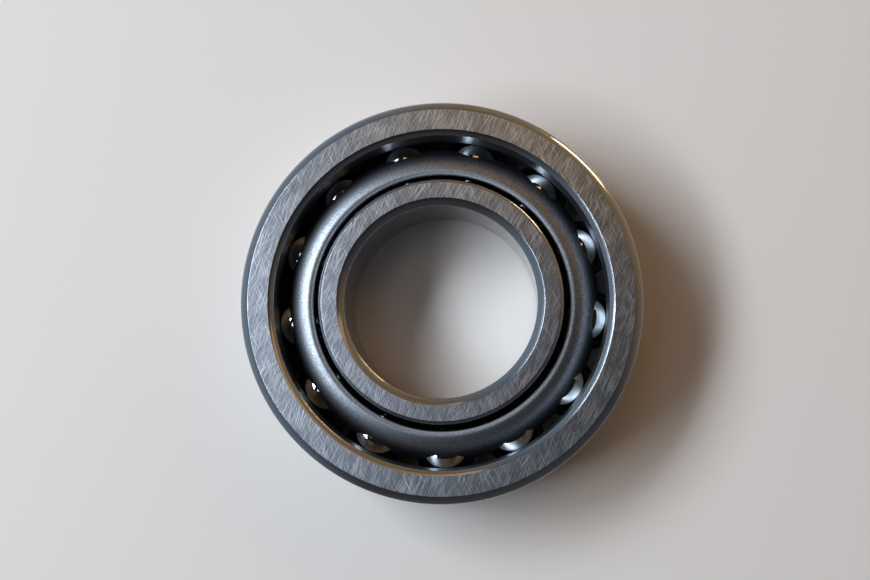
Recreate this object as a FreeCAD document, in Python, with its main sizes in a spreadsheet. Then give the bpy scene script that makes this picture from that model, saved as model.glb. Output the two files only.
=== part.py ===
import FreeCAD, Part
import math
import os

import Sketcher

# Single-row angular contact ball bearing with a one-piece pressed steel cage.
# Millimetres. The axis of rotation is Z and the rings stand on z = 0.
# The outer ring's thrust shoulder is at the top, the inner ring's at the bottom,
# so the line of contact climbs outwards through each ball.

# Driving sizes
SIZES = {
    # boundary sizes and the steel between them and the balls
    "bore_d": 25.0,
    "inner_wall": 3.031,
    "ball_d": 7.938,
    "outer_wall": 2.531,
    "ring_width": 15.0,
    # ball set
    "ball_count": 13,
    "first_ball_angle": 21.8,
    "contact_angle": 40.0,
    # raceways: how much wider the groove is than the ball, and the gap left on the line of contact
    "groove_relief": 0.159,
    "race_gap": 0.05,
    # chamfers of both rings: their slope from the side face and the rounding of their edges
    "chamfer_slope": 35.0,
    "edge_round": 0.3,
    # outer ring
    "outside_chamfer": 1.0,
    "front_chamfer": 0.7,
    "outer_shoulder": 1.77,
    "shoulder_taper": 4.0,
    "shoulder_chamfer": 0.69,
    "outer_lip": 0.28,
    "counterbore_flare": 0.35,
    "counterbore_round": 0.3,
    # inner ring
    "bore_chamfer": 0.94,
    "inner_shoulder": 2.1,
    "inner_shoulder_round": 0.6,
    "inner_lip": 0.32,
    "land_chamfer": 0.42,
    # cage
    "cage_sheet": 0.9,
    "cage_rise": 1.05,
    "cage_bore_gap": 0.85,
    "flange_land": 0.3,
    "flange_gap": 0.83,
    "rim_width": 1.4,
    "window_gap": 0.2,
    "sheet_edge_round": 0.25,
}

# Sizes worked out from the driving ones, as sheet formulas, in the order they build on each other
WORKED = {
    "ball_r": "=sizes.ball_d / 2",
    "mid_z": "=sizes.ring_width / 2",
    "bore_r": "=sizes.bore_d / 2",
    "pitch_r": "=bore_r + sizes.inner_wall + ball_r",
    "outside_r": "=pitch_r + ball_r + sizes.outer_wall",
    "groove_r": "=ball_r + sizes.groove_relief",
    "groove_shift_r": "=(sizes.groove_relief - sizes.race_gap) * cos(sizes.contact_angle * 1 deg)",
    "groove_shift_z": "=(sizes.groove_relief - sizes.race_gap) * sin(sizes.contact_angle * 1 deg)",
    "outer_groove_r": "=pitch_r - groove_shift_r",
    "outer_groove_z": "=mid_z - groove_shift_z",
    "inner_groove_r": "=pitch_r + groove_shift_r",
    "inner_groove_z": "=mid_z + groove_shift_z",
    "chamfer_fall": "=tan(sizes.chamfer_slope * 1 deg)",
    "outside_face_r": "=outside_r - sizes.outside_chamfer",
    "outside_edge_z": "=sizes.ring_width - sizes.outside_chamfer * chamfer_fall",
    "front_face_r": "=outside_r - sizes.front_chamfer",
    "front_edge_z": "=sizes.front_chamfer * chamfer_fall",
    "shoulder_mouth_r": "=pitch_r + ball_r - sizes.outer_shoulder",
    "shoulder_face_r": "=shoulder_mouth_r + sizes.shoulder_chamfer",
    "shoulder_mouth_z": "=sizes.ring_width - sizes.shoulder_chamfer * chamfer_fall",
    "shoulder_root_r": "=shoulder_mouth_r - (shoulder_mouth_z - mid_z) * tan(sizes.shoulder_taper * 1 deg)",
    "outer_lip_r": "=pitch_r + ball_r - sizes.outer_lip",
    "counterbore_r": "=outer_lip_r + sizes.counterbore_flare",
    "bore_face_r": "=bore_r + sizes.bore_chamfer",
    "bore_foot_z": "=sizes.bore_chamfer * chamfer_fall",
    "bore_head_z": "=sizes.ring_width - bore_foot_z",
    "inner_land_r": "=pitch_r - ball_r + sizes.inner_lip",
    "land_face_r": "=inner_land_r - sizes.land_chamfer",
    "land_edge_z": "=sizes.ring_width - sizes.land_chamfer * chamfer_fall",
    "inner_shoulder_r": "=pitch_r - ball_r + sizes.inner_shoulder",
    "window_r": "=ball_r + sizes.window_gap",
    "web_r": "=pitch_r + sizes.cage_rise",
    "web_inside_r": "=web_r - sizes.cage_sheet",
    "cage_bore_r": "=inner_land_r + sizes.cage_bore_gap",
    "bend_r": "=web_r - cage_bore_r - sizes.flange_land",
    "bend_inside_r": "=bend_r - sizes.cage_sheet",
    "flange_under_z": "=mid_z + ball_r + sizes.flange_gap",
    "flange_top_z": "=flange_under_z + sizes.cage_sheet",
    "foot_z": "=mid_z - window_r - sizes.rim_width",
}

doc = FreeCAD.newDocument("angular_contact_bearing")


def fill_sheet(name, cells):
    """Put each value in a cell of its own, with its name beside it and as its alias."""
    sheet = doc.addObject("Spreadsheet::Sheet", name)
    for row, (alias, content) in enumerate(cells.items(), start=1):
        sheet.set(f"A{row}", alias)
        sheet.set(f"B{row}", str(content))
        sheet.setAlias(f"B{row}", alias)
    doc.recompute()


fill_sheet("sizes", SIZES)
fill_sheet("worked", WORKED)


def size(expression):
    """The number behind an expression such as sizes.bore_d or worked.bend_r."""
    sheet, alias = expression.split(".")
    return float(doc.getObject(sheet).get(alias))


def new_body(label):
    """A body of its own for one piece, named as its file is."""
    body = doc.addObject("PartDesign::Body", label)
    body.Label = label
    return body


def origin_feature(body, role):
    """The body's own origin plane or axis with that role."""
    return next(f for f in body.Origin.OriginFeatures if f.Role == role)


def new_sketch(body, name, role):
    """A sketch of the body on one of its origin planes."""
    sketch = body.newObject("Sketcher::SketchObject", name)
    sketch.AttachmentSupport = [(origin_feature(body, role), "")]
    sketch.MapMode = "FlatFace"
    return sketch


def dimension(sketch, name, expression, kind, *where):
    """A named dimension whose value follows the sheets."""
    index = sketch.addConstraint(Sketcher.Constraint(kind, *where, size(expression)))
    sketch.renameConstraint(index, name)
    sketch.setExpression(f"Constraints.{name}", expression)


def corner_points(sketch, corners):
    """Construction points at the corners, before any rounding, placed by their radius and height."""
    points = []
    for name, radius, height, _ in corners:
        place = FreeCAD.Vector(size(radius), 0 if height is None else size(height), 0)
        point = sketch.addGeometry(Part.Point(place), True)
        dimension(sketch, f"{name}_r", radius, "DistanceX", -1, 1, point, 1)
        if height is None:
            sketch.addConstraint(Sketcher.Constraint("PointOnObject", point, 1, -1))
        else:
            dimension(sketch, f"{name}_z", height, "DistanceY", -1, 1, point, 1)
        points.append(point)
    doc.recompute()
    return points


def turned_profile(sketch, corners):
    """A closed outline through the corners, with straight sides and a tangent arc at each rounded corner.

    A corner is its name, radius, height (None on the floor) and rounding (None where it is sharp).
    """
    points = corner_points(sketch, corners)
    places = [FreeCAD.Vector(sketch.Geometry[p].X, sketch.Geometry[p].Y, 0) for p in points]
    count = len(corners)
    along = [(places[(i + 1) % count] - places[i]).normalize() for i in range(count)]
    rounds = [0.0 if corner[3] is None else size(corner[3]) for corner in corners]
    trims = []
    for i in range(count):
        turn = along[i - 1].getAngle(along[i])
        trims.append(rounds[i] * math.tan(turn / 2))

    # straight sides, each through its two corners
    sides = []
    for i in range(count):
        after = (i + 1) % count
        start = places[i] + along[i] * trims[i]
        end = places[after] - along[i] * trims[after]
        side = sketch.addGeometry(Part.LineSegment(start, end), False)
        for corner, vertex in ((i, 1), (after, 2)):
            if rounds[corner]:
                sketch.addConstraint(Sketcher.Constraint("PointOnObject", points[corner], 1, side))
            else:
                sketch.addConstraint(Sketcher.Constraint("Coincident", side, vertex, points[corner], 1))
        sides.append(side)

    # an arc at each rounded corner, tangent to the side before it and the side after it
    for i, (name, _, _, rounding) in enumerate(corners):
        if rounding is None:
            continue
        start = places[i] - along[i - 1] * trims[i]
        end = places[i] + along[i] * trims[i]
        inward = (along[i] - along[i - 1]).normalize()
        centre = places[i] + inward * math.hypot(rounds[i], trims[i])
        middle = centre - inward * rounds[i]
        arc = sketch.addGeometry(Part.Arc(start, middle, end), False)
        first, last = 1, 2
        if sketch.getPoint(arc, 1).distanceToPoint(start) > sketch.getPoint(arc, 2).distanceToPoint(start):
            first, last = 2, 1
        sketch.addConstraint(Sketcher.Constraint("Tangent", sides[i - 1], 2, arc, first))
        sketch.addConstraint(Sketcher.Constraint("Tangent", arc, last, sides[i], 1))
        dimension(sketch, f"{name}_round", rounding, "Radius", arc)


def revolved(body, name, corners):
    """Turn a profile in the XZ plane about the axis of rotation."""
    sketch = new_sketch(body, f"{name}_profile", "XZ_Plane")
    turned_profile(sketch, corners)
    turning = body.newObject("PartDesign::Revolution", f"{name}_blank")
    turning.Profile = sketch
    turning.ReferenceAxis = (sketch, ["V_Axis"])
    turning.Angle = 360
    doc.recompute()
    return turning


def grind_raceway(body, name, centre_r, centre_z):
    """Grind the ball groove: a circle a little wider than the ball, turned about the axis."""
    before = body.Shape.Volume
    sketch = new_sketch(body, f"{name}_groove_profile", "XZ_Plane")
    start = FreeCAD.Vector(size(centre_r), size(centre_z), 0)
    upright = FreeCAD.Vector(0, 0, 1)
    circle = sketch.addGeometry(Part.Circle(start, upright, size("worked.groove_r")), False)
    dimension(sketch, "centre_r", centre_r, "DistanceX", -1, 1, circle, 3)
    dimension(sketch, "centre_z", centre_z, "DistanceY", -1, 1, circle, 3)
    dimension(sketch, "groove", "worked.groove_r", "Radius", circle)
    groove = body.newObject("PartDesign::Groove", f"{name}_raceway")
    groove.Profile = sketch
    groove.ReferenceAxis = (sketch, ["V_Axis"])
    groove.Angle = 360
    doc.recompute()
    if body.Shape.Volume >= before:
        raise RuntimeError(f"the raceway of {name} cut nothing")


def make_outer_ring():
    """Outer ring: high tapered thrust shoulder above the balls, counterbore with a small lip below."""
    body = new_body("outer_ring")
    revolved(body, "outer", [
        ("seat_front", "worked.outside_r", "worked.front_edge_z", "sizes.edge_round"),
        ("seat_thrust", "worked.outside_r", "worked.outside_edge_z", "sizes.edge_round"),
        ("thrust_face_outside", "worked.outside_face_r", "sizes.ring_width", "sizes.edge_round"),
        ("thrust_face_inside", "worked.shoulder_face_r", "sizes.ring_width", "sizes.edge_round"),
        ("shoulder_mouth", "worked.shoulder_mouth_r", "worked.shoulder_mouth_z", "sizes.edge_round"),
        ("shoulder_root", "worked.shoulder_root_r", "worked.mid_z", None),
        ("lip", "worked.outer_lip_r", "worked.mid_z", None),
        ("counterbore_mouth", "worked.counterbore_r", None, "sizes.counterbore_round"),
        ("front_face_outside", "worked.front_face_r", None, "sizes.edge_round"),
    ])
    grind_raceway(body, "outer", "worked.outer_groove_r", "worked.outer_groove_z")
    return body


def make_inner_ring():
    """Inner ring: low land with a small lip above the balls, high thrust shoulder below."""
    body = new_body("inner_ring")
    revolved(body, "inner", [
        ("bore_foot", "worked.bore_r", "worked.bore_foot_z", "sizes.edge_round"),
        ("thrust_face_inside", "worked.bore_face_r", None, "sizes.edge_round"),
        ("shoulder_foot", "worked.inner_shoulder_r", None, "sizes.inner_shoulder_round"),
        ("shoulder_root", "worked.inner_shoulder_r", "worked.mid_z", None),
        ("lip", "worked.inner_land_r", "worked.mid_z", None),
        ("land_edge", "worked.inner_land_r", "worked.land_edge_z", "sizes.edge_round"),
        ("front_face_outside", "worked.land_face_r", "sizes.ring_width", "sizes.edge_round"),
        ("front_face_inside", "worked.bore_face_r", "sizes.ring_width", "sizes.edge_round"),
        ("bore_head", "worked.bore_r", "worked.bore_head_z", "sizes.edge_round"),
    ])
    grind_raceway(body, "inner", "worked.inner_groove_r", "worked.inner_groove_z")
    return body


def make_cage():
    """Cage: sheet drawn into a cup wall with a rounded in-turned flange, then pierced with round windows."""
    body = new_body("cage")
    revolved(body, "cage", [
        ("foot_outside", "worked.web_r", "worked.foot_z", "sizes.sheet_edge_round"),
        ("bend", "worked.web_r", "worked.flange_top_z", "worked.bend_r"),
        ("flange_edge", "worked.cage_bore_r", "worked.flange_top_z", "sizes.sheet_edge_round"),
        ("flange_under", "worked.cage_bore_r", "worked.flange_under_z", "sizes.sheet_edge_round"),
        ("bend_inside", "worked.web_inside_r", "worked.flange_under_z", "worked.bend_inside_r"),
        ("foot_inside", "worked.web_inside_r", "worked.foot_z", "sizes.sheet_edge_round"),
    ])
    before = body.Shape.Volume

    # one window, pierced from the axis outwards along X
    sketch = new_sketch(body, "window_profile", "YZ_Plane")
    start = FreeCAD.Vector(0, size("worked.mid_z"), 0)
    upright = FreeCAD.Vector(0, 0, 1)
    circle = sketch.addGeometry(Part.Circle(start, upright, size("worked.window_r")), False)
    sketch.addConstraint(Sketcher.Constraint("PointOnObject", circle, 3, -2))
    dimension(sketch, "window_z", "worked.mid_z", "DistanceY", -1, 1, circle, 3)
    dimension(sketch, "window", "worked.window_r", "Radius", circle)
    window = body.newObject("PartDesign::Pocket", "window")
    window.Profile = sketch
    window.Reversed = True
    window.setExpression("Length", "worked.web_r + sizes.cage_sheet")
    doc.recompute()
    one_window = before - body.Shape.Volume

    # the same window for every ball
    windows = body.newObject("PartDesign::PolarPattern", "windows")
    windows.Originals = [window]
    windows.Axis = (origin_feature(body, "Z_Axis"), [""])
    windows.Angle = 360
    windows.setExpression("Occurrences", "sizes.ball_count")
    body.Tip = windows
    doc.recompute()
    pierced = before - body.Shape.Volume
    if one_window <= 0 or abs(pierced - windows.Occurrences * one_window) > 0.01 * pierced:
        raise RuntimeError("the cage's windows are not all cut")

    # turned so that its windows stand over the balls
    body.Placement = FreeCAD.Placement(FreeCAD.Vector(), FreeCAD.Rotation(FreeCAD.Vector(0, 0, 1), 1))
    body.setExpression("Placement.Rotation.Angle", "sizes.first_ball_angle * 1 deg")
    return body


def make_ball(number):
    """One ball on the pitch circle, half-way up the rings."""
    ball = doc.addObject("Part::Sphere", f"ball_{number:02d}")
    ball.Label = f"ball_{number:02d}"
    angle = f"(sizes.first_ball_angle * 1 deg + {number - 1} * 360 deg / sizes.ball_count)"
    ball.setExpression("Radius", "worked.ball_r")
    ball.setExpression("Placement.Base.x", f"worked.pitch_r * cos{angle}")
    ball.setExpression("Placement.Base.y", f"worked.pitch_r * sin{angle}")
    ball.setExpression("Placement.Base.z", "worked.mid_z")
    return ball


def main():
    """Build every piece, check it and write it to its own file."""
    pieces = [make_outer_ring(), make_inner_ring(), make_cage()]
    for number in range(1, SIZES["ball_count"] + 1):
        pieces.append(make_ball(number))
    doc.recompute()

    for item in doc.Objects:
        if "Invalid" in item.State or "Error" in item.State:
            raise RuntimeError(f"{item.Name} failed: {item.State}")
    for piece in pieces:
        if piece.Shape.isNull() or not piece.Shape.isValid():
            raise RuntimeError(f"{piece.Label} has no valid shape")

    os.makedirs("parts", exist_ok=True)
    for piece in pieces:
        piece.Shape.exportStep(f"parts/{piece.Label}.step")


main()
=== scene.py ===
import math
from collections import namedtuple

import bpy
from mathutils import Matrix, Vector


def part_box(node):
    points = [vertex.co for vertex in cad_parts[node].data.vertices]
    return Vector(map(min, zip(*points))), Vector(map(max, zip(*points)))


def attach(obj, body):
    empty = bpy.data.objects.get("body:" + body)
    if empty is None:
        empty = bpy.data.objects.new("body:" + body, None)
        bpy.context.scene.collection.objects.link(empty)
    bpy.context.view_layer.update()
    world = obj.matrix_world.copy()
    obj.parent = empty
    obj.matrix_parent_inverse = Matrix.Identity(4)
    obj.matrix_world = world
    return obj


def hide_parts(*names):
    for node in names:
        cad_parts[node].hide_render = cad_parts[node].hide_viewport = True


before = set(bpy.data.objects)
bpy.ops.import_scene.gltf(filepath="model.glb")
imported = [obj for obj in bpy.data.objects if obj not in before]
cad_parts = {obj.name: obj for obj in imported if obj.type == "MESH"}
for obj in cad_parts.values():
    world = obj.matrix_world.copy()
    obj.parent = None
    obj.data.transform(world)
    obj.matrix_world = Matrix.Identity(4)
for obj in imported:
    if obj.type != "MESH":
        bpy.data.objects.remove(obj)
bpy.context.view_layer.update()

bl_info = {
    "name": "Angular Contact Bearing",
    "version": (1, 0, 0),
    "blender": (4, 5, 0),
    "location": "3D View > Sidebar > Bearing",
    "description": "Rings, pressed cage and balls of an angular contact bearing, around its packed frame",
    "category": "Add Mesh",
}

MM = 0.001
TURN = 2 * math.pi

# The photograph's picture, in pixels, and the camera that took it
PICTURE_WIDTH = 870
FOCAL_PIXELS = 1529.15
SENSOR_WIDTH = 36.0
CAMERA_PLACE_MM = (9.646, -16.194, 210.65)
CAMERA_TILT_DEG = (5.134, 3.025, 0.0)

# The nearest and farthest things that the camera sees, in metres
CAMERA_NEAR = 0.001
CAMERA_FAR = 100.0

# Which finish a stretch of a turned piece has
FACE = 0
ROUND = 1
TRACK = 2

# How finely the pieces are drawn: steps round the axis, in a rounded corner, in the cage's bend, in a ball
# groove and round a window, and how often a ball is subdivided
RING_STEPS = 312
CORNER_STEPS = 8
BEND_STEPS = 14
GROOVE_STEPS = 28
WINDOW_STEPS = 72
BALL_SUBDIVISIONS = 6

# A point this far past a rounded corner keeps the side beyond it flat under smooth shading
HOLD = 0.03 * MM

# Points closer than this are joined where a turned outline comes round to its start
SEAM = 0.0001 * MM

# An edge that turns by more than this is shaded as a crease
SHARP_ANGLE = math.radians(32)

# The corner at either end of a chamfer turns by less than twice this angle
HALF_TURN = math.radians(35)

# Where the middle of a window's punch lies, as a share of the wall's radius
PUNCH_MIDDLE = 5 / 6

# Every noise texture's roughness, the detail of those drawn out into lines, and two values between which most
# of a texture lies
NOISE_ROUGHNESS = 0.6
LINE_DETAIL = 1.5
NOISE_LOW = 0.35
NOISE_HIGH = 0.65

# Lines on the side faces: the direction of each set in degrees, and a shift in millimetres that sets it apart
FACE_LINES = ((57, 3), (66, 11), (71, 19), (78, 29), (116, 37))
LONG_FACE_LINES = ((71, 43), (28, 57))

# The painted shade on the cage starts this far below its top, and covers most of the steel this far below it
PAINTED_SHADE_START = 0.5 * MM
PAINTED_SHADE_FULL = 1.4 * MM

# The cage's rubbed edges are rougher than its sheet by this much
EDGE_ROUGHER = 0.11

# How far the floor reaches from the axis each way, in metres, and how little its paper shines
FLOOR_REACH = 1.5
PAPER_ROUGHNESS = 0.9
PAPER_SHINE = 0.1

# The walls of the room: where the warm and the cool one stand round the axis, in degrees, and the cosines of
# the angles from its middle at which a wall begins and is full
WARM_SIDE = 52
COOL_SIDE = 165
WALL_EDGE = 0.2
WALL_FULL = 0.9

# Heights in the room, as sines of elevations. The walls fade into the dark overhead between the first two.
# Low down they are brighter by the gain, which fades away between the other two.
WALL_TOP = 0.5
OVERHEAD = 0.75
LOW_WALL = 0.15
LOW_WALL_TOP = 0.36
LOW_WALL_GAIN = 1.42

# The lamps: where each hangs round the axis and how high, in degrees, its width and height in metres, and the
# stage's properties that give its power and its light
Lamp = namedtuple("Lamp", "name azimuth elevation width height power light")
LAMPS = (
    Lamp("Upper Window", 156, 47, 0.28, 0.2, "upper_power", "window_light"),
    Lamp("Lower Window", 190, 48, 0.26, 0.12, "lower_power", "window_light"),
    Lamp("Cool Ceiling", 171, 74.8, 0.14, 0.14, "cool_ceiling_power", "cool_ceiling"),
    Lamp("Warm Ceiling", 81, 69.8, 0.2, 0.1, "warm_ceiling_power", "warm_ceiling"),
    Lamp("Warm Softbox", 60, 42, 0.9, 0.11, "warm_power", "warm_light"),
    Lamp("Low Lamp", 50, 6.3, 0.2, 0.03, "lamp_power", "lamp_light"),
)

# How far every lamp hangs from the bearing, in metres
LAMP_DISTANCE = 0.6


def middle_of(node):
    """The middle of a packed node's box."""
    low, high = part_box(node)
    return (low + high) / 2


def reach_of(node):
    """How far a packed node reaches from the axis, which is Z."""
    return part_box(node)[1].x


BALL_NODES = sorted(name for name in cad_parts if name.startswith("ball_"))
FIRST_BALL = middle_of(BALL_NODES[0])
PITCH_RADIUS = FIRST_BALL.xy.length
BALL_RADIUS = (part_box(BALL_NODES[0])[1].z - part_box(BALL_NODES[0])[0].z) / 2
OUTSIDE_RADIUS = reach_of("outer_ring")
RING_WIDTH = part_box("outer_ring")[1].z
INNER_SHOULDER_RADIUS = reach_of("inner_ring")
CAGE_RADIUS = reach_of("cage")
CAGE_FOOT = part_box("cage")[0].z
CAGE_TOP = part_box("cage")[1].z


# Colours

def linear(hex_colour):
    """A written sRGB colour as the linear red, green, blue and alpha that Blender works in."""
    channels = [int(hex_colour[i:i + 2], 16) / 255 for i in (0, 2, 4)]
    return [c / 12.92 if c <= 0.04045 else ((c + 0.055) / 1.055) ** 2.4 for c in channels] + [1.0]


# Sizes and colours that a user would change

def length(name, description, default):
    """A length in metres."""
    return bpy.props.FloatProperty(
        name=name, description=description, default=default, min=0.0, unit="LENGTH", precision=5)


def angle(name, description, degrees):
    """An angle, written in degrees."""
    return bpy.props.FloatProperty(
        name=name, description=description, default=math.radians(degrees), unit="ROTATION")


def colour(name, description, hex_colour):
    """A colour, written as sRGB hex."""
    return bpy.props.FloatVectorProperty(
        name=name, description=description, default=linear(hex_colour), size=4, min=0.0, max=1.0,
        subtype="COLOR")


def share(name, description, default):
    """A share from 0 to 1, such as a roughness."""
    return bpy.props.FloatProperty(
        name=name, description=description, default=default, min=0.0, max=1.0, subtype="FACTOR")


def power(name, description, watts):
    """A lamp's power in watts."""
    return bpy.props.FloatProperty(name=name, description=description, default=watts, min=0.0, unit="POWER")


class BearingRingSizes(bpy.types.PropertyGroup):
    """Sizes of the two rings."""
    width: length("Width", "Width of both rings along the axis", RING_WIDTH)
    outside_radius: length("Outside Radius", "Radius of the outer ring's seat", OUTSIDE_RADIUS)
    bore_radius: length("Bore Radius", "Radius of the inner ring's bore", 12.5 * MM)
    groove_relief: length("Groove Relief", "How much wider a ball groove is than the ball", 0.159 * MM)
    groove_shift: length("Groove Shift", "Shift of each groove's centre on the line of contact", 0.109 * MM)
    contact_angle: angle("Contact Angle", "Angle of the line of contact above the plane of the balls", 40)
    chamfer_slope: angle("Chamfer Slope", "Slope of the ring chamfers from the side face", 35)
    chamfer_crown: angle("Chamfer Crown", "How far a chamfer's slope turns across its width", 11)
    edge_round: length("Edge Rounding", "Rounding where chamfers meet seat, bore and shoulders", 0.2 * MM)
    face_edge_round: length("Face Edge Rounding", "Rounding where chamfers meet side faces", 0.08 * MM)
    outside_chamfer: length("Outside Chamfer", "Width of the outer ring's thrust chamfer", 1.0 * MM)
    front_chamfer: length("Front Chamfer", "Width of the outer ring's front chamfer", 0.7 * MM)
    shoulder_height: length("Shoulder Height", "Depth of the outer shoulder below the ball tops", 1.77 * MM)
    shoulder_taper: angle("Shoulder Taper", "Taper of the outer ring's thrust shoulder", 4.0)
    shoulder_chamfer: length("Shoulder Chamfer", "Width of the chamfer at the shoulder's mouth", 0.69 * MM)
    outer_lip: length("Outer Lip", "Height of the lip that holds the outer ring on", 0.28 * MM)
    counterbore_flare: length("Counterbore Flare", "How much the counterbore opens to its mouth", 0.35 * MM)
    counterbore_round: length("Counterbore Rounding", "Rounding of the counterbore's mouth", 0.3 * MM)
    bore_chamfer: length("Bore Chamfer", "Width of both bore chamfers", 0.94 * MM)
    inner_shoulder_radius: length("Inner Shoulder", "Radius of the thrust shoulder", INNER_SHOULDER_RADIUS)
    inner_shoulder_round: length("Inner Shoulder Rounding", "Rounding of the inner shoulder's foot", 0.6 * MM)
    inner_lip: length("Inner Lip", "Height of the inner ring's lip over its groove", 0.32 * MM)
    land_chamfer: length("Land Chamfer", "Width of the chamfer on the inner ring's low land", 0.42 * MM)


class BearingCageSizes(bpy.types.PropertyGroup):
    """Sizes of the pressed cage."""
    radius: length("Radius", "Radius of the cage's wall outside", CAGE_RADIUS)
    sheet: length("Sheet", "Thickness of the sheet", 0.9 * MM)
    bore_radius: length("Bore Radius", "Radius of the opening in the in-turned flange", 16.701 * MM)
    top: length("Top", "Height of the flange's upper side", CAGE_TOP)
    foot: length("Foot", "Height of the cage's lower edge", CAGE_FOOT)
    flange_land: length("Flange Land", "Width of the stretch beside the flange's edge", 0.62 * MM)
    land_slope: angle("Land Slope", "Fall of that stretch towards the flange's edge", 10)
    flange_slope: angle("Flange Slope", "Slope of the flange, up towards that stretch", 16)
    crest_round: length("Crest Rounding", "Rounding between that stretch and the flange", 1.0 * MM)
    lip_round: length("Lip Rounding", "Rounding of the flange's upper edge", 0.3 * MM)
    edge_round: length("Edge Rounding", "Rounding of the tumbled sheet edges", 0.25 * MM)
    window_gap: length("Window Gap", "Gap between a ball and its window", 0.2 * MM)


class BearingBallSizes(bpy.types.PropertyGroup):
    """Sizes of the ball set."""
    radius: length("Radius", "Radius of a ball", BALL_RADIUS)
    pitch_radius: length("Pitch Radius", "Radius of the circle through the ball centres", PITCH_RADIUS)
    height: length("Height", "Height of the ball centres", FIRST_BALL.z)
    first_angle: angle("First Angle", "Place of the first ball round the axis",
                       math.degrees(math.atan2(FIRST_BALL.y, FIRST_BALL.x)))
    count: bpy.props.IntProperty(
        name="Count", description="Number of balls and of cage windows", default=len(BALL_NODES), min=3)


class BearingFinishes(bpy.types.PropertyGroup):
    """Colours and gloss of the steels."""
    face_bright: colour("Face, Bright", "Bright lines of the side faces", "FCFDFE")
    face_dark: colour("Face, Dark", "Ground steel between the bright lines", "8C9096")
    face_score: colour("Face, Score", "Longer bright lines across the side faces", "FAFBFC")
    face_roughness: share("Face Roughness", "Roughness of the side faces", 0.3)
    ground_steel: colour("Ground Steel", "Steel of the chamfers, bore and seat", "B8BABD")
    ground_dark: colour("Ground Steel, Dark", "Hollows of the lines on chamfers, bore and seat", "A2A4A7")
    ground_roughness: share("Ground Roughness", "Roughness of the chamfers, bore and seat", 0.14)
    track_steel: colour("Honed Steel", "Steel of the shoulders and raceways", "9A9DA2")
    track_dark: colour("Honed Steel, Dark", "Hollows of the lines on shoulders and raceways", "86898D")
    track_roughness: share("Honed Roughness", "Roughness of the shoulders and raceways", 0.38)
    cage_steel: colour("Cage Steel", "Tumbled sheet of the cage", "ACB0B6")
    cage_hollow: colour("Cage Hollows", "Hollows of the cage's grain", "76797E")
    # Painted shade: a dark colour laid on the cage low down beside the balls, where shade falls between the
    # rings
    cage_painted_shade: colour("Cage Painted Shade", "Dark film of oil on the cage, low down beside the balls", "44464B")
    cage_edge: colour("Cage Edge", "Rubbed edges of the cage's sheet", "D4D7DB")
    cage_roughness: share("Cage Roughness", "Roughness of the cage", 0.42)
    ball_steel: colour("Ball Steel", "Mirror-polished ball steel", "C2C4C7")
    ball_film: colour("Ball Film", "Ball steel under a film of oil", "A8AAAD")
    ball_roughness: share("Ball Roughness", "Roughness of the balls", 0.04)


class BearingStage(bpy.types.PropertyGroup):
    """Floor and light."""
    floor: colour("Floor", "Pale matt floor", "EEE3D9")
    window_light: colour("Window Light", "Cool light of the two softboxes on the left", "DCEBFA")
    upper_power: power("Upper Window Power", "Power of the softbox at the upper left", 2.6)
    lower_power: power("Lower Window Power", "Power of the softbox at the lower left", 1.45)
    cool_ceiling: colour("Cool Ceiling", "Dim light from overhead on the left", "DAE4F8")
    cool_ceiling_power: power("Cool Ceiling Power", "Power of the light overhead on the left", 0.144)
    warm_ceiling: colour("Warm Ceiling", "Dim light from overhead at the upper right", "FFC670")
    warm_ceiling_power: power("Warm Ceiling Power", "Power of the light overhead at the upper right", 0.08)
    warm_light: colour("Warm Light", "Light of the warm softbox at the upper right", "FFC98C")
    warm_power: power("Warm Power", "Power of the warm softbox at the upper right", 0.24)
    lamp_light: colour("Lamp Light", "Warm light of the small low lamp", "FFDCA8")
    lamp_power: power("Lamp Power", "Power of the small low lamp", 0.3)
    cool_wall: colour("Cool Wall", "Dim room on the left", "7F8F9F")
    warm_wall: colour("Warm Wall", "Dim room at the upper right", "8E785C")
    dark_wall: colour("Dark Wall", "Dim room on the other sides", "454448")
    overhead: colour("Overhead", "Dark room overhead", "201F1F")


# Node trees

def add_node(tree, kind, inputs=None, **settings):
    """Add a node, with its settings, and with each input either set to a value or linked to a socket."""
    node = tree.nodes.new(kind)
    for name, value in settings.items():
        setattr(node, name, value)
    for key, value in (inputs or {}).items():
        if isinstance(value, bpy.types.NodeSocket):
            tree.links.new(value, node.inputs[key])
        else:
            node.inputs[key].default_value = value
    return node


def calculated(tree, operation, *values):
    """The result of one step of arithmetic."""
    return add_node(tree, "ShaderNodeMath", dict(enumerate(values)), operation=operation).outputs[0]


def counted(tree, operation, first, second):
    """The result of one step with whole numbers."""
    return add_node(tree, "FunctionNodeIntegerMath", {0: first, 1: second}, operation=operation).outputs[0]


def even_angle(tree, number, count, first_angle):
    """The angle of one of several even places round the axis."""
    turned_share = calculated(tree, "DIVIDE", number, count)
    return calculated(tree, "MULTIPLY_ADD", turned_share, TURN, first_angle)


def new_geometry_tree(name, inputs):
    """A geometry tree with inputs of those names and kinds; gives the tree, its input and its output node."""
    tree = bpy.data.node_groups.new(name, "GeometryNodeTree")
    for socket_name, kind in inputs:
        tree.interface.new_socket(socket_name, in_out="INPUT", socket_type=f"NodeSocket{kind}")
    tree.interface.new_socket("Geometry", in_out="OUTPUT", socket_type="NodeSocketGeometry")
    return tree, add_node(tree, "NodeGroupInput"), add_node(tree, "NodeGroupOutput")


def shade_by_angle(tree, geometry):
    """Smooth shading, with a crease at every sharp edge."""
    smooth = add_node(tree, "GeometryNodeSetShadeSmooth", {"Geometry": geometry})
    edge = add_node(tree, "GeometryNodeInputMeshEdgeAngle")
    sharp = add_node(tree, "FunctionNodeCompare", {0: edge.outputs["Unsigned Angle"], 1: SHARP_ANGLE},
                     data_type="FLOAT", operation="GREATER_THAN")
    creased = add_node(tree, "GeometryNodeSetShadeSmooth", {
        "Geometry": smooth.outputs[0], "Selection": sharp.outputs[0], "Shade Smooth": False}, domain="EDGE")
    return creased.outputs[0]


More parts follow.
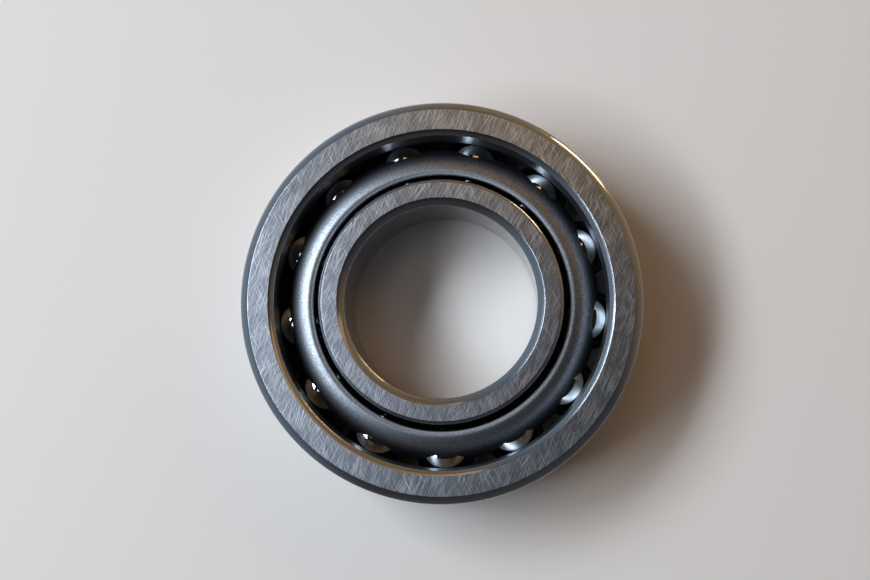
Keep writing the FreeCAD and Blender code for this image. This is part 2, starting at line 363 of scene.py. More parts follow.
def stored_finish(tree):
    """The number of the finish that is stored with the geometry."""
    finish = add_node(tree, "GeometryNodeInputNamedAttribute", {"Name": "finish"}, data_type="INT")
    return finish.outputs["Attribute"]


def dressed(tree, geometry, number, material):
    """The geometry with that material on its faces of one finish."""
    has_finish = add_node(tree, "FunctionNodeCompare", {2: stored_finish(tree), 3: number},
                          data_type="INT", operation="EQUAL")
    return add_node(tree, "GeometryNodeSetMaterial", {
        "Geometry": geometry, "Selection": has_finish.outputs[0], "Material": material}).outputs[0]


def turning_tree():
    """Turns a closed outline about Z and gives each stretch of it the material of its finish."""
    tree, given, result = new_geometry_tree("Turn Outline", [
        ("Outline", "Geometry"), ("Steps", "Int"), ("Face Finish", "Material"),
        ("Round Finish", "Material"), ("Track Finish", "Material")])
    outline = given.outputs["Outline"]
    steps = given.outputs["Steps"]
    index = add_node(tree, "GeometryNodeInputIndex").outputs[0]

    # a grid with one row for each point of the outline and one column for each step round the axis
    outline_size = add_node(tree, "GeometryNodeAttributeDomainSize", {"Geometry": outline}, component="MESH")
    point_count = outline_size.outputs["Point Count"]
    rows = counted(tree, "ADD", point_count, 1)
    columns = counted(tree, "ADD", steps, 1)
    grid = add_node(tree, "GeometryNodeMeshGrid", {"Vertices X": rows, "Vertices Y": columns})

    # the finish of the outline's side that each face comes from
    side_row = counted(tree, "DIVIDE_FLOOR", index, steps)
    side_finish = add_node(tree, "GeometryNodeSampleIndex", {
        "Geometry": outline, "Value": stored_finish(tree), "Index": side_row}, data_type="INT", domain="EDGE")
    marked = add_node(tree, "GeometryNodeStoreNamedAttribute", {
        "Geometry": grid.outputs["Mesh"], "Name": "finish", "Value": side_finish.outputs[0]},
        data_type="INT", domain="FACE")

    # each point of the grid moved to its place round the axis, with the last row and column on the first
    row = counted(tree, "DIVIDE_FLOOR", index, columns)
    row_wrapped = counted(tree, "MODULO", row, point_count)
    column = counted(tree, "MODULO", index, columns)
    column_wrapped = counted(tree, "MODULO", column, steps)
    position = add_node(tree, "GeometryNodeInputPosition")
    on_outline = add_node(tree, "GeometryNodeSampleIndex", {
        "Geometry": outline, "Value": position.outputs[0], "Index": row_wrapped},
        data_type="FLOAT_VECTOR", domain="POINT")
    turned = add_node(tree, "ShaderNodeVectorRotate", {
        "Vector": on_outline.outputs[0], "Angle": even_angle(tree, column_wrapped, steps, 0.0)},
        rotation_type="Z_AXIS")
    placed = add_node(tree, "GeometryNodeSetPosition", {
        "Geometry": marked.outputs[0], "Position": turned.outputs[0]})
    closed = add_node(tree, "GeometryNodeMergeByDistance", {"Geometry": placed.outputs[0], "Distance": SEAM})
    outward = add_node(tree, "GeometryNodeFlipFaces", {"Mesh": closed.outputs[0]})

    shaded = shade_by_angle(tree, outward.outputs[0])
    geometry = add_node(tree, "GeometryNodeRealizeInstances", {"Geometry": shaded}).outputs[0]
    for number, socket_name in ((FACE, "Face Finish"), (ROUND, "Round Finish"), (TRACK, "Track Finish")):
        geometry = dressed(tree, geometry, number, given.outputs[socket_name])
    tree.links.new(geometry, result.inputs[0])
    return tree


def piercing_tree():
    """Pierces a turned cage with one round window for each ball, straight out through its wall."""
    tree, given, result = new_geometry_tree("Pierce Windows", [
        ("Cage", "Geometry"), ("Count", "Int"), ("First Angle", "Float"), ("Window Radius", "Float"),
        ("Height", "Float"), ("Reach", "Float"), ("Edge Finish", "Material")])

    # one punch as long as the wall's radius, lying along X at the height of the balls
    punch = add_node(tree, "GeometryNodeMeshCylinder", {
        "Vertices": WINDOW_STEPS, "Radius": given.outputs["Window Radius"], "Depth": given.outputs["Reach"]})
    middle = calculated(tree, "MULTIPLY", given.outputs["Reach"], PUNCH_MIDDLE)
    place = add_node(tree, "ShaderNodeCombineXYZ", {"X": middle, "Z": given.outputs["Height"]})
    laid = add_node(tree, "GeometryNodeTransform", {
        "Geometry": punch.outputs["Mesh"], "Translation": place.outputs[0], "Rotation": (0, math.pi / 2, 0)})
    marked = add_node(tree, "GeometryNodeStoreNamedAttribute", {
        "Geometry": laid.outputs[0], "Name": "finish", "Value": ROUND}, data_type="INT", domain="FACE")

    # the punch repeated round the axis
    stations = add_node(tree, "GeometryNodePoints", {"Count": given.outputs["Count"]})
    index = add_node(tree, "GeometryNodeInputIndex").outputs[0]
    station_angle = even_angle(tree, index, given.outputs["Count"], given.outputs["First Angle"])
    facing = add_node(tree, "FunctionNodeAxisAngleToRotation", {"Axis": (0, 0, 1), "Angle": station_angle})
    punches = add_node(tree, "GeometryNodeInstanceOnPoints", {
        "Points": stations.outputs[0], "Instance": marked.outputs[0], "Rotation": facing.outputs[0]})
    loose = add_node(tree, "GeometryNodeRealizeInstances", {"Geometry": punches.outputs[0]})
    pierced = add_node(tree, "GeometryNodeMeshBoolean", {
        "Mesh 1": given.outputs["Cage"], "Mesh 2": loose.outputs[0]}, operation="DIFFERENCE", solver="EXACT")

    # the cut edges of the windows get the finish of the sheet's other edges
    shaded = shade_by_angle(tree, pierced.outputs["Mesh"])
    geometry = add_node(tree, "GeometryNodeRealizeInstances", {"Geometry": shaded}).outputs[0]
    tree.links.new(dressed(tree, geometry, ROUND, given.outputs["Edge Finish"]), result.inputs[0])
    return tree


def ball_tree():
    """Sets one ball of the set at its place on the pitch circle."""
    tree, given, result = new_geometry_tree("Set Ball", [
        ("Geometry", "Geometry"), ("Radius", "Float"), ("Pitch Radius", "Float"), ("Height", "Float"),
        ("First Angle", "Float"), ("Count", "Int"), ("Number", "Int"), ("Finish", "Material")])
    ball = add_node(tree, "GeometryNodeMeshIcoSphere", {
        "Radius": given.outputs["Radius"], "Subdivisions": BALL_SUBDIVISIONS})
    smooth = add_node(tree, "GeometryNodeSetShadeSmooth", {"Geometry": ball.outputs["Mesh"]})
    station_angle = even_angle(
        tree, given.outputs["Number"], given.outputs["Count"], given.outputs["First Angle"])
    on_pitch = add_node(tree, "ShaderNodeCombineXYZ", {
        "X": given.outputs["Pitch Radius"], "Z": given.outputs["Height"]})
    station = add_node(tree, "ShaderNodeVectorRotate", {
        "Vector": on_pitch.outputs[0], "Angle": station_angle}, rotation_type="Z_AXIS")
    placed = add_node(tree, "GeometryNodeTransform", {
        "Geometry": smooth.outputs[0], "Translation": station.outputs[0]})
    realized = add_node(tree, "GeometryNodeRealizeInstances", {"Geometry": placed.outputs[0]})
    polished = add_node(tree, "GeometryNodeSetMaterial", {
        "Geometry": realized.outputs[0], "Material": given.outputs["Finish"]})
    tree.links.new(polished.outputs[0], result.inputs[0])
    return tree


def new_object(name, data):
    """A new object in the scene."""
    made = bpy.data.objects.new(name, data)
    bpy.context.scene.collection.objects.link(made)
    return made


def add_tree(piece, tree, values):
    """Put a geometry tree on a piece and set its inputs."""
    modifier = piece.modifiers.new(tree.name, "NODES")
    modifier.node_group = tree
    identifiers = {s.name: s.identifier for s in tree.interface.items_tree if s.in_out == "INPUT"}
    for name, value in values.items():
        modifier[identifiers[name]] = value


def settle(piece, name):
    """Turn what the trees make of a piece into a plain mesh object of its own."""
    evaluated = piece.evaluated_get(bpy.context.evaluated_depsgraph_get())
    mesh = bpy.data.meshes.new_from_object(evaluated)
    mesh.name = name
    if not mesh.polygons:
        raise RuntimeError(f"{name} came out empty")
    bpy.data.objects.remove(piece)
    return new_object(name, mesh)


def stand_for(piece, node):
    """Let a finished piece ride on a packed body, in place of its plain node."""
    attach(piece, node)
    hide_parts(node)


# Outlines of the turned pieces

# A stop on an outline: its radius and height, its rounding, the finishes of its rounding and of the side
# that follows it, and the steps of its rounding
Stop = namedtuple("Stop", "radius height rounding bend side steps", defaults=(CORNER_STEPS,))


def rounded_stop(before, here, after, stop):
    """The points that round one stop, with a holding point on the straight side before and after it."""
    to_before = (before - here).normalized()
    to_after = (after - here).normalized()
    half = to_before.angle(to_after) / 2
    trim = stop.rounding / math.tan(half)
    inward = (to_before + to_after).normalized()
    centre = here + inward * stop.rounding / math.sin(half)
    start = here + to_before * trim - centre
    turn = math.pi - 2 * half
    if to_before.x * to_after.y - to_before.y * to_after.x > 0:
        turn = -turn
    points = [here + to_before * (trim + HOLD)]
    for step in range(stop.steps + 1):
        by = turn * step / stop.steps
        points.append(centre + Vector((
            start.x * math.cos(by) - start.y * math.sin(by),
            start.x * math.sin(by) + start.y * math.cos(by))))
    points.append(here + to_after * (trim + HOLD))
    return points


def trace(stops):
    """The closed outline through the stops: its points, and the finish of the side after each point."""
    places = [Vector((stop.radius, stop.height)) for stop in stops]
    points = []
    finishes = []
    for i, stop in enumerate(stops):
        if not stop.rounding:
            points.append(places[i])
            finishes.append(stop.side)
            continue
        arc = rounded_stop(places[i - 1], places[i], places[(i + 1) % len(stops)], stop)
        points.extend(arc)
        finishes.extend([stops[i - 1].side] + [stop.bend] * stop.steps + [stop.side] * 2)
    return points, finishes


def crowned(first, last, crown):
    """The two stops of a chamfer with a third between them, which crowns the chamfer by that angle."""
    along = Vector((last.radius - first.radius, last.height - first.height))
    out = Vector((along.y, -along.x)).normalized()
    half = along.length / 2
    top = Vector((first.radius, first.height)) + along / 2 + out * half * math.tan(crown / 2)
    room = half / math.cos(crown / 2) - max(first.rounding, last.rounding) * math.tan(HALF_TURN) - 2 * HOLD
    return [first, Stop(top.x, top.y, room / math.tan(crown / 2), ROUND, ROUND), last]


def onto_face(rings, edge, face_edge):
    """Stops of a ring's chamfer from an edge up to a side face."""
    return crowned(
        Stop(*edge, rings.edge_round, ROUND, ROUND),
        Stop(*face_edge, rings.face_edge_round, ROUND, FACE),
        rings.chamfer_crown)


def off_face(rings, face_edge, edge, side=ROUND):
    """Stops of a ring's chamfer from a side face down to an edge, and the finish of the side past it."""
    return crowned(
        Stop(*face_edge, rings.face_edge_round, ROUND, ROUND),
        Stop(*edge, rings.edge_round, ROUND, side),
        rings.chamfer_crown)


def meets_groove(start, end, centre, radius):
    """Where the straight side from start to end runs into the ball groove."""
    along = end - start
    offset = start - centre
    a = along.dot(along)
    b = 2 * along.dot(offset)
    c = offset.dot(offset) - radius * radius
    return start + along * (-b - math.sqrt(b * b - 4 * a * c)) / (2 * a)


def groove_stops(start, end, centre):
    """Stops along a ball groove from start to end, the short way round its centre."""
    from_angle = math.atan2(start.y - centre.y, start.x - centre.x)
    to_angle = math.atan2(end.y - centre.y, end.x - centre.x)
    sweep = (to_angle - from_angle + math.pi) % TURN - math.pi
    radius = (start - centre).length
    stops = []
    for step in range(GROOVE_STEPS + 1):
        at = from_angle + sweep * step / GROOVE_STEPS
        out = centre.x + radius * math.cos(at)
        up = centre.y + radius * math.sin(at)
        stops.append(Stop(out, up, 0, TRACK, TRACK))
    return stops


def groove_centre(rings, balls, side):
    """Centre of a ring's ball groove: side is -1 for the outer ring and 1 for the inner one."""
    shift = Vector((math.cos(rings.contact_angle), math.sin(rings.contact_angle))) * rings.groove_shift
    return Vector((balls.pitch_radius, rings.width / 2)) + side * shift


def outer_ring_stops(rings, balls):
    """Cross-section of the outer ring: seat, thrust face, tapered shoulder, groove and counterbore."""
    centre = groove_centre(rings, balls, -1)
    groove_radius = balls.radius + rings.groove_relief
    ball_reach = balls.pitch_radius + balls.radius
    seat = rings.outside_radius
    top = rings.width
    middle = rings.width / 2
    fall = math.tan(rings.chamfer_slope)
    mouth = Vector((ball_reach - rings.shoulder_height, top - rings.shoulder_chamfer * fall))
    root = Vector((mouth.x - (mouth.y - middle) * math.tan(rings.shoulder_taper), middle))
    lip = Vector((ball_reach - rings.outer_lip, middle))
    counterbore = Vector((lip.x + rings.counterbore_flare, 0))
    shoulder_edge = meets_groove(mouth, root, centre, groove_radius)
    lip_edge = meets_groove(counterbore, lip, centre, groove_radius)
    groove = groove_stops(shoulder_edge, lip_edge, centre)
    groove[-1] = groove[-1]._replace(side=ROUND)
    return [
        *onto_face(rings, (seat, top - rings.outside_chamfer * fall), (seat - rings.outside_chamfer, top)),
        *off_face(rings, (mouth.x + rings.shoulder_chamfer, top), mouth, TRACK),
        *groove,
        Stop(counterbore.x, 0, rings.counterbore_round, ROUND, FACE),
        *off_face(rings, (seat - rings.front_chamfer, 0), (seat, rings.front_chamfer * fall)),
    ]


def inner_ring_stops(rings, balls):
    """Cross-section of the inner ring: bore, thrust face, shoulder, groove and low land."""
    centre = groove_centre(rings, balls, 1)
    groove_radius = balls.radius + rings.groove_relief
    bore = rings.bore_radius
    bore_edge = bore + rings.bore_chamfer
    top = rings.width
    middle = rings.width / 2
    fall = math.tan(rings.chamfer_slope)
    bore_fall = rings.bore_chamfer * fall
    land_radius = balls.pitch_radius - balls.radius + rings.inner_lip
    land = Vector((land_radius, top - rings.land_chamfer * fall))
    foot = Vector((rings.inner_shoulder_radius, 0))
    shoulder_edge = meets_groove(foot, Vector((foot.x, middle)), centre, groove_radius)
    lip_edge = meets_groove(land, Vector((land.x, middle)), centre, groove_radius)
    groove = groove_stops(shoulder_edge, lip_edge, centre)
    groove[-1] = groove[-1]._replace(side=ROUND)
    return [
        *onto_face(rings, (bore, bore_fall), (bore_edge, 0)),
        Stop(*foot, rings.inner_shoulder_round, ROUND, TRACK),
        *groove,
        *onto_face(rings, land, (land.x - rings.land_chamfer, top)),
        *off_face(rings, (bore_edge, top), (bore, top - bore_fall)),
    ]


def cage_stops(cage):
    """Cross-section of the cage before piercing: cup wall, rounded bend and in-turned, crested flange."""
    inside = cage.radius - cage.sheet
    slope = cage.flange_slope
    rise = math.tan(slope)
    crest = cage.bore_radius + cage.flange_land
    crest_trim = cage.crest_round * math.tan((slope + cage.land_slope) / 2) + 2 * HOLD
    bend = ((cage.radius - crest) / math.cos(slope) - crest_trim) * math.tan(math.pi / 4 + slope / 2)
    lip = cage.top - cage.flange_land * math.tan(cage.land_slope)
    under = cage.top - cage.sheet / math.cos(slope) + cage.flange_land * rise
    return [
        Stop(cage.radius, cage.foot, cage.edge_round, ROUND, FACE),
        Stop(cage.radius, cage.top - (cage.radius - crest) * rise, bend, FACE, FACE, BEND_STEPS),
        Stop(crest, cage.top, cage.crest_round, FACE, FACE),
        Stop(cage.bore_radius, lip, cage.lip_round, ROUND, ROUND),
        Stop(cage.bore_radius, under, cage.edge_round, ROUND, FACE),
        Stop(inside, under - (inside - cage.bore_radius) * rise, bend - cage.sheet, FACE, FACE, BEND_STEPS),
        Stop(inside, cage.foot, cage.edge_round, ROUND, ROUND),
    ]


def turned_piece(name, stops, face, rounds, track):
    """An object that turns the outline through the stops, with the finishes given."""
    points, finishes = trace(stops)
    mesh = bpy.data.meshes.new(name)
    count = len(points)
    mesh.from_pydata([(p.x, 0, p.y) for p in points], [(i, (i + 1) % count) for i in range(count)], [])
    marks = mesh.attributes.new("finish", "INT", "EDGE")
    marks.data.foreach_set("value", finishes)
    piece = new_object(name, mesh)
    add_tree(piece, turning_tree(), {
        "Steps": RING_STEPS, "Face Finish": face, "Round Finish": rounds, "Track Finish": track})
    return piece


# Materials

def new_steel(name):
    """A steel material: its node tree, its shader and its Object coordinates, in metres."""
    material = bpy.data.materials.new(name)
    material.use_nodes = True
    tree = material.node_tree
    shader = tree.nodes["Principled BSDF"]
    shader.inputs["Metallic"].default_value = 1.0
    coordinates = add_node(tree, "ShaderNodeTexCoord")
    return material, tree, shader, coordinates.outputs["Object"]


def scratch_lines(tree, place, directions, width_mm, length_mm):
    """Straight lines of that width and length, one set for each direction: 0 to 1, high on a line."""
    highest = 0.0
    for degrees, shift in directions:
        laid = add_node(tree, "ShaderNodeMapping", {
            "Vector": place, "Location": (shift * MM, shift * MM, 0),
            "Rotation": (0, 0, math.radians(degrees)),
            "Scale": (length_mm * MM, width_mm * MM, MM)}, vector_type="TEXTURE")
        lines = add_node(tree, "ShaderNodeTexNoise", {
            "Vector": laid.outputs[0], "Scale": 1.0, "Detail": LINE_DETAIL, "Roughness": NOISE_ROUGHNESS},
            noise_dimensions="2D")
        highest = calculated(tree, "MAXIMUM", lines.outputs[0], highest)
    return highest


def turned_lines(tree, place, width_mm, length_mm):
    """Lines that run round the axis, of that width and length: 0 to 1, with 0.5 as the mean."""
    flat = add_node(tree, "ShaderNodeVectorMath", {0: place, 1: (1, 1, 0)}, operation="MULTIPLY")
    radius = add_node(tree, "ShaderNodeVectorMath", {0: flat.outputs[0]}, operation="LENGTH")
    around = add_node(tree, "ShaderNodeVectorMath", {0: flat.outputs[0]}, operation="NORMALIZE")
    stretch = PITCH_RADIUS / (length_mm * MM)
    per_line = 1 / (width_mm * MM)
    height = add_node(tree, "ShaderNodeVectorMath", {0: place, 1: (0, 0, per_line)}, operation="MULTIPLY")
    laid = add_node(tree, "ShaderNodeVectorMath", {
        0: around.outputs[0], 1: (stretch, stretch, 0), 2: height.outputs[0]}, operation="MULTIPLY_ADD")
    outward = calculated(tree, "MULTIPLY", radius.outputs["Value"], per_line)
    lines = add_node(tree, "ShaderNodeTexNoise", {
        "Vector": laid.outputs[0], "W": outward, "Scale": 1.0, "Detail": LINE_DETAIL,
        "Roughness": NOISE_ROUGHNESS}, noise_dimensions="4D")
    return lines.outputs[0]


def speckle(tree, place, grain_mm, detail):
    """Grains of that size: 0 to 1, with 0.5 as the mean."""
    grains = add_node(tree, "ShaderNodeTexNoise", {
        "Vector": place, "Scale": 1 / (grain_mm * MM), "Detail": detail, "Roughness": NOISE_ROUGHNESS})
    return grains.outputs[0]


def rescaled(tree, value, low, high, new_low=0.0, new_high=1.0):
    """A value moved from one range to another, and held within it."""
    return add_node(tree, "ShaderNodeMapRange", {
        "Value": value, "From Min": low, "From Max": high, "To Min": new_low, "To Max": new_high}).outputs[0]


def spread(tree, noise):
    """The usual range of a noise texture spread from 0 to 1."""
    return rescaled(tree, noise, NOISE_LOW, NOISE_HIGH)


def roughened(tree, relief, mean, by):
    """A roughness about that mean, lower on the lines or grains than between them."""
    return rescaled(tree, relief, NOISE_LOW, NOISE_HIGH, mean + by, mean - by)


def mixed(tree, share_of_second, first, second):
    """A colour between two others."""
    return add_node(tree, "ShaderNodeMix", {
        "Factor": share_of_second, "A": first, "B": second}, data_type="RGBA").outputs["Result"]


def finish_steel(tree, shader, steel, roughness, relief, depth_mm):
    """Link a steel's colour, roughness and relief of that depth to its shader."""
    bump = add_node(tree, "ShaderNodeBump", {"Strength": 1.0, "Distance": depth_mm * MM, "Height": relief})
    tree.links.new(steel, shader.inputs["Base Color"])
    tree.links.new(roughness, shader.inputs["Roughness"])
    tree.links.new(bump.outputs[0], shader.inputs["Normal"])


def face_ground_steel(finishes):
    """Side faces: hardened chrome steel, surface ground.

    To the eye it is a satin grey with fine straight lines that cross at small angles, most of them one way,
    a few longer and brighter ones, and faint clouds left by handling. The real lines are a few hundredths of
    a millimetre wide; they are drawn about three times coarser, so that they show.
    """
    material, tree, shader, place = new_steel("Surface-Ground Bearing Steel")
    lines = scratch_lines(tree, place, FACE_LINES, width_mm=0.1, length_mm=4.2)
    long_lines = scratch_lines(tree, place, LONG_FACE_LINES, width_mm=0.11, length_mm=8.0)
    clouds = speckle(tree, place, grain_mm=5.0, detail=2.0)
    bright = rescaled(tree, lines, low=0.6, high=0.78)
    clouded = rescaled(tree, clouds, low=0.45, high=0.75, new_high=0.12)
    scored = rescaled(tree, long_lines, low=0.7, high=0.8, new_high=0.8)
    ground = mixed(tree, bright, finishes.face_dark, finishes.face_bright)
    handled = mixed(tree, clouded, ground, finishes.face_dark)
    steel = mixed(tree, scored, handled, finishes.face_score)
    satin = finishes.face_roughness
    roughness = rescaled(tree, bright, low=0.0, high=1.0, new_low=satin - 0.02, new_high=satin + 0.05)
    finish_steel(tree, shader, steel, roughness, lines, depth_mm=0.008)
    return material


def round_ground_steel(finishes):
    """Chamfers, bore and seat: hardened chrome steel, turned and ground round the axis.

    To the eye it is smooth and glossy, with faint lines that run round the ring. The real lines are about
    two hundredths of a millimetre wide and are drawn four times coarser.
    """
    material, tree, shader, place = new_steel("Cylindrically Ground Bearing Steel")
    lines = turned_lines(tree, place, width_mm=0.08, length_mm=7.0)
    steel = mixed(tree, spread(tree, lines), finishes.ground_dark, finishes.ground_steel)
    roughness = roughened(tree, lines, finishes.ground_roughness, by=0.05)
    finish_steel(tree, shader, steel, roughness, lines, depth_mm=0.002)
    return material


def honed_steel(finishes):
    """Shoulders and raceways: hardened chrome steel, ground and honed, under a film of oil.

    To the eye it is dark and satin, with faint streaks from very fine lines round the ring, which are drawn
    several times coarser than they are.
    """
    material, tree, shader, place = new_steel("Honed Bearing Steel")
    lines = turned_lines(tree, place, width_mm=0.06, length_mm=9.0)
    steel = mixed(tree, spread(tree, lines), finishes.track_dark, finishes.track_steel)
    roughness = roughened(tree, lines, finishes.track_roughness, by=0.04)
    finish_steel(tree, shader, steel, roughness, lines, depth_mm=0.003)
    return material


def tumbled_sheet_steel(finishes):
    """Cage: pressed low-carbon sheet steel, tumbled after pressing.

    To the eye it is a dark satin grey with a fine grain that sparkles in the highlights. Low down beside the
    balls, where shade falls between the rings, its colour is darkened with painted shade. The real grain is a
    few hundredths of a millimetre; it is drawn about three times coarser, so that it shows.
    """
    material, tree, shader, place = new_steel("Tumbled Sheet Steel")
    grain = speckle(tree, place, grain_mm=0.16, detail=2.0)
    clean = mixed(tree, spread(tree, grain), finishes.cage_hollow, finishes.cage_steel)
    height = add_node(tree, "ShaderNodeSeparateXYZ", {0: place}).outputs["Z"]
    # Painted shade: the cage's colour darkens towards its foot, beside the balls, where shade falls
    painted_shade = rescaled(tree, height, CAGE_TOP - PAINTED_SHADE_START, CAGE_TOP - PAINTED_SHADE_FULL, new_high=0.8)
    steel = mixed(tree, painted_shade, clean, finishes.cage_painted_shade)
    roughness = roughened(tree, grain, finishes.cage_roughness, by=0.06)
    finish_steel(tree, shader, steel, roughness, grain, depth_mm=0.02)
    return material


def rubbed_sheet_edge(finishes):
    """Cut edges of the cage: the same sheet steel, sheared, then rubbed bright by tumbling.

    To the eye it is a thin line, paler than the sheet, with the same grain.
    """
    material, tree, shader, place = new_steel("Rubbed Sheet Edge")
    grain = speckle(tree, place, grain_mm=0.16, detail=2.0)
    steel = mixed(tree, spread(tree, grain), finishes.cage_steel, finishes.cage_edge)
    roughness = roughened(tree, grain, finishes.cage_roughness + EDGE_ROUGHER, by=0.05)
    finish_steel(tree, shader, steel, roughness, grain, depth_mm=0.02)
    return material


def polished_ball_steel(finishes):
    """Balls: hardened chrome steel, lapped and polished.

    To the eye they are mirrors, dimmed in faint patches by a film of oil.
    """
    material, tree, shader, place = new_steel("Polished Ball Steel")
    film = speckle(tree, place, grain_mm=1.6, detail=3.0)
    filmed = rescaled(tree, film, low=0.35, high=0.7)
    steel = mixed(tree, filmed, finishes.ball_steel, finishes.ball_film)
    gloss = finishes.ball_roughness
    roughness = rescaled(tree, filmed, low=0.0, high=1.0, new_low=gloss, new_high=gloss + 0.05)
    finish_steel(tree, shader, steel, roughness, film, depth_mm=0.001)
    return material


def matt_floor(stage):
    """Floor: plain pale matt paper."""
    material = bpy.data.materials.new("Pale Matt Paper")
    material.use_nodes = True
    shader = material.node_tree.nodes["Principled BSDF"]
    shader.inputs["Base Color"].default_value = stage.floor
    shader.inputs["Roughness"].default_value = PAPER_ROUGHNESS
    shader.inputs["Specular IOR Level"].default_value = PAPER_SHINE
    return material


# Stage

def toward(azimuth, elevation=0):
    """The direction, of length 1, to that side and height in degrees."""
    turned = math.radians(azimuth)
    raised = math.radians(elevation)
    level = math.cos(raised)
    return Vector((math.cos(turned) * level, math.sin(turned) * level, math.sin(raised)))


def hang(lamp, stage):
    """Hang a rectangular lamp that faces the bearing."""
    light = bpy.data.lights.new(lamp.name, "AREA")
    light.shape = "RECTANGLE"
    light.size = lamp.width
    light.size_y = lamp.height
    light.energy = getattr(stage, lamp.power)
    light.color = getattr(stage, lamp.light)[:3]
    away = toward(lamp.azimuth, lamp.elevation)
    holder = new_object(lamp.name, light)
    holder.location = Vector((0, 0, RING_WIDTH)) + away * LAMP_DISTANCE
    holder.rotation_euler = away.to_track_quat("Z", "Y").to_euler()
    holder.visible_camera = False


def wall_share(tree, direction, azimuth):
    """How much a direction looks towards the wall on that side: 1 at its middle, 0 behind."""
    facing = add_node(tree, "ShaderNodeVectorMath", {
        0: direction, 1: toward(azimuth)}, operation="DOT_PRODUCT")
    return rescaled(tree, facing.outputs["Value"], WALL_EDGE, WALL_FULL)


def make_world(stage):
    """Dim light from the room: a cool wall on the left, a warm one at the upper right, dark elsewhere."""
    world = bpy.data.worlds.new("Studio")
    world.use_nodes = True
    tree = world.node_tree
    direction = add_node(tree, "ShaderNodeTexCoord").outputs["Generated"]
    warmed = mixed(tree, wall_share(tree, direction, WARM_SIDE), stage.dark_wall, stage.warm_wall)
    cooled = mixed(tree, wall_share(tree, direction, COOL_SIDE), warmed, stage.cool_wall)
    height = add_node(tree, "ShaderNodeSeparateXYZ", {0: direction}).outputs["Z"]
    room = mixed(tree, rescaled(tree, height, WALL_TOP, OVERHEAD), cooled, stage.overhead)
    gain = rescaled(tree, height, LOW_WALL, LOW_WALL_TOP, new_low=LOW_WALL_GAIN, new_high=1.0)
    background = tree.nodes["Background"]
    tree.links.new(room, background.inputs["Color"])
    tree.links.new(gain, background.inputs["Strength"])
    bpy.context.scene.world = world


def make_camera():
    """The camera that took the photograph, above the bearing and a little off its axis."""
    camera = bpy.data.cameras.new("Camera")
    camera.sensor_width = SENSOR_WIDTH
    camera.lens = FOCAL_PIXELS / PICTURE_WIDTH * SENSOR_WIDTH
    camera.clip_start = CAMERA_NEAR
    camera.clip_end = CAMERA_FAR
    holder = new_object("Camera", camera)
    holder.location = Vector(CAMERA_PLACE_MM) * MM
    holder.rotation_euler = [math.radians(tilt) for tilt in CAMERA_TILT_DEG]
    bpy.context.scene.camera = holder


def make_floor(stage):
    """A large flat floor under the bearing."""
    corners = [(FLOOR_REACH * x, FLOOR_REACH * y, 0) for x, y in ((-1, -1), (1, -1), (1, 1), (-1, 1))]
    mesh = bpy.data.meshes.new("floor")
    mesh.from_pydata(corners, [], [(0, 1, 2, 3)])
    mesh.materials.append(matt_floor(stage))
    floor = new_object("floor", mesh)


# Operators

class BEARING_OT_rings(bpy.types.Operator):
    """Turn both rings and give their faces, corners, bore and raceways their finishes"""
    bl_idname = "bearing.rings"
    bl_label = "Rings"

    def execute(self, context):
        scene = context.scene
        finishes = scene.bearing_finishes
        steels = face_ground_steel(finishes), round_ground_steel(finishes), honed_steel(finishes)
        for node, stops in (("outer_ring", outer_ring_stops), ("inner_ring", inner_ring_stops)):
            ring = turned_piece(f"{node}_turning", stops(scene.bearing_rings, scene.bearing_balls), *steels)
            stand_for(settle(ring, f"{node}_ground"), node)
        return {"FINISHED"}


class BEARING_OT_cage(bpy.types.Operator):
    """Form the cage from its sheet and pierce its windows"""
    bl_idname = "bearing.cage"
    bl_label = "Cage"

    def execute(self, context):
        scene = context.scene
        cage = scene.bearing_cage
        balls = scene.bearing_balls
        sheet = tumbled_sheet_steel(scene.bearing_finishes)
        edge = rubbed_sheet_edge(scene.bearing_finishes)
        piece = turned_piece("cage_forming", cage_stops(cage), sheet, edge, sheet)
        add_tree(piece, piercing_tree(), {
            "Count": balls.count, "First Angle": balls.first_angle,
            "Window Radius": balls.radius + cage.window_gap, "Height": balls.height,
            "Reach": cage.radius, "Edge Finish": edge})
        stand_for(settle(piece, "cage_pressed"), "cage")
        return {"FINISHED"}


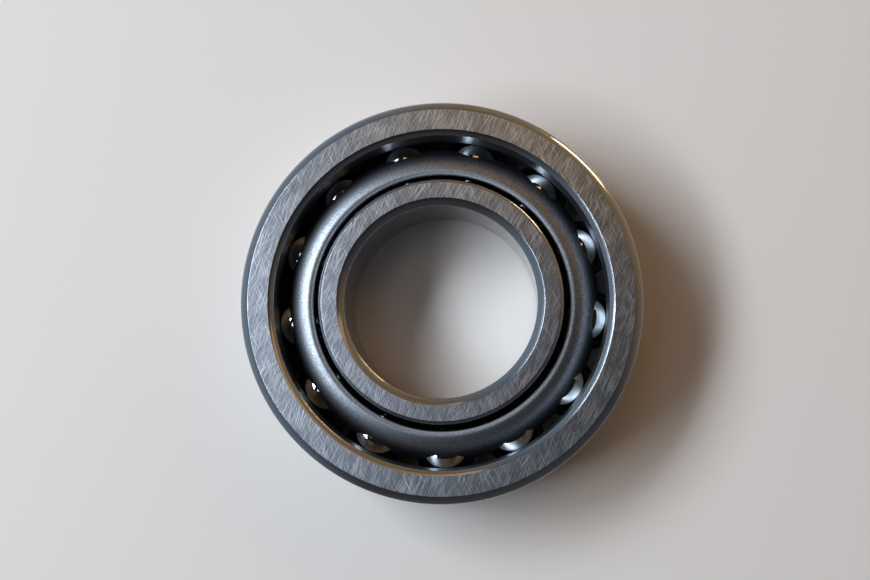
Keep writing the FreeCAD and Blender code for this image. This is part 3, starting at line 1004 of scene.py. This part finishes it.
class BEARING_OT_balls(bpy.types.Operator):
    """Set the polished balls round the pitch circle"""
    bl_idname = "bearing.balls"
    bl_label = "Balls"

    def execute(self, context):
        scene = context.scene
        balls = scene.bearing_balls
        steel = polished_ball_steel(scene.bearing_finishes)
        tree = ball_tree()
        for number, node in enumerate(BALL_NODES):
            piece = new_object(f"{node}_blank", bpy.data.meshes.new(f"{node}_blank"))
            add_tree(piece, tree, {
                "Radius": balls.radius, "Pitch Radius": balls.pitch_radius, "Height": balls.height,
                "First Angle": balls.first_angle, "Count": balls.count, "Number": number, "Finish": steel})
            stand_for(settle(piece, f"{node}_polished"), node)
        return {"FINISHED"}


class BEARING_OT_stage(bpy.types.Operator):
    """Lay the pale floor, hang the lamps and set up the camera"""
    bl_idname = "bearing.stage"
    bl_label = "Stage"

    def execute(self, context):
        stage = context.scene.bearing_stage
        context.scene.view_settings.view_transform = "Standard"
        make_floor(stage)
        make_world(stage)
        for lamp in LAMPS:
            hang(lamp, stage)
        make_camera()
        return {"FINISHED"}


class BEARING_PT_sidebar(bpy.types.Panel):
    """Sizes, finishes and steps of the bearing"""
    bl_idname = "BEARING_PT_sidebar"
    bl_label = "Bearing"
    bl_space_type = "VIEW_3D"
    bl_region_type = "UI"
    bl_category = "Bearing"

    def draw(self, context):
        layout = self.layout
        for step in STEPS:
            layout.operator(step.bl_idname)
        for pointer, group in GROUPS.items():
            box = layout.box()
            box.label(text=group.__doc__)
            for name in group.__annotations__:
                box.prop(getattr(context.scene, pointer), name)


GROUPS = {
    "bearing_rings": BearingRingSizes,
    "bearing_cage": BearingCageSizes,
    "bearing_balls": BearingBallSizes,
    "bearing_finishes": BearingFinishes,
    "bearing_stage": BearingStage,
}
STEPS = (BEARING_OT_rings, BEARING_OT_cage, BEARING_OT_balls, BEARING_OT_stage)


def register():
    """Register the sizes, the steps and the panel."""
    for pointer, group in GROUPS.items():
        bpy.utils.register_class(group)
        setattr(bpy.types.Scene, pointer, bpy.props.PointerProperty(type=group))
    for step in STEPS:
        bpy.utils.register_class(step)
    bpy.utils.register_class(BEARING_PT_sidebar)


def unregister():
    """Take the panel, the steps and the sizes away again."""
    bpy.utils.unregister_class(BEARING_PT_sidebar)
    for step in reversed(STEPS):
        bpy.utils.unregister_class(step)
    for pointer, group in reversed(GROUPS.items()):
        delattr(bpy.types.Scene, pointer)
        bpy.utils.unregister_class(group)


def main():
    """Build the bearing and its stage."""
    register()
    bpy.ops.bearing.rings()
    bpy.ops.bearing.cage()
    bpy.ops.bearing.balls()
    bpy.ops.bearing.stage()


if __name__ == "__main__":
    main()
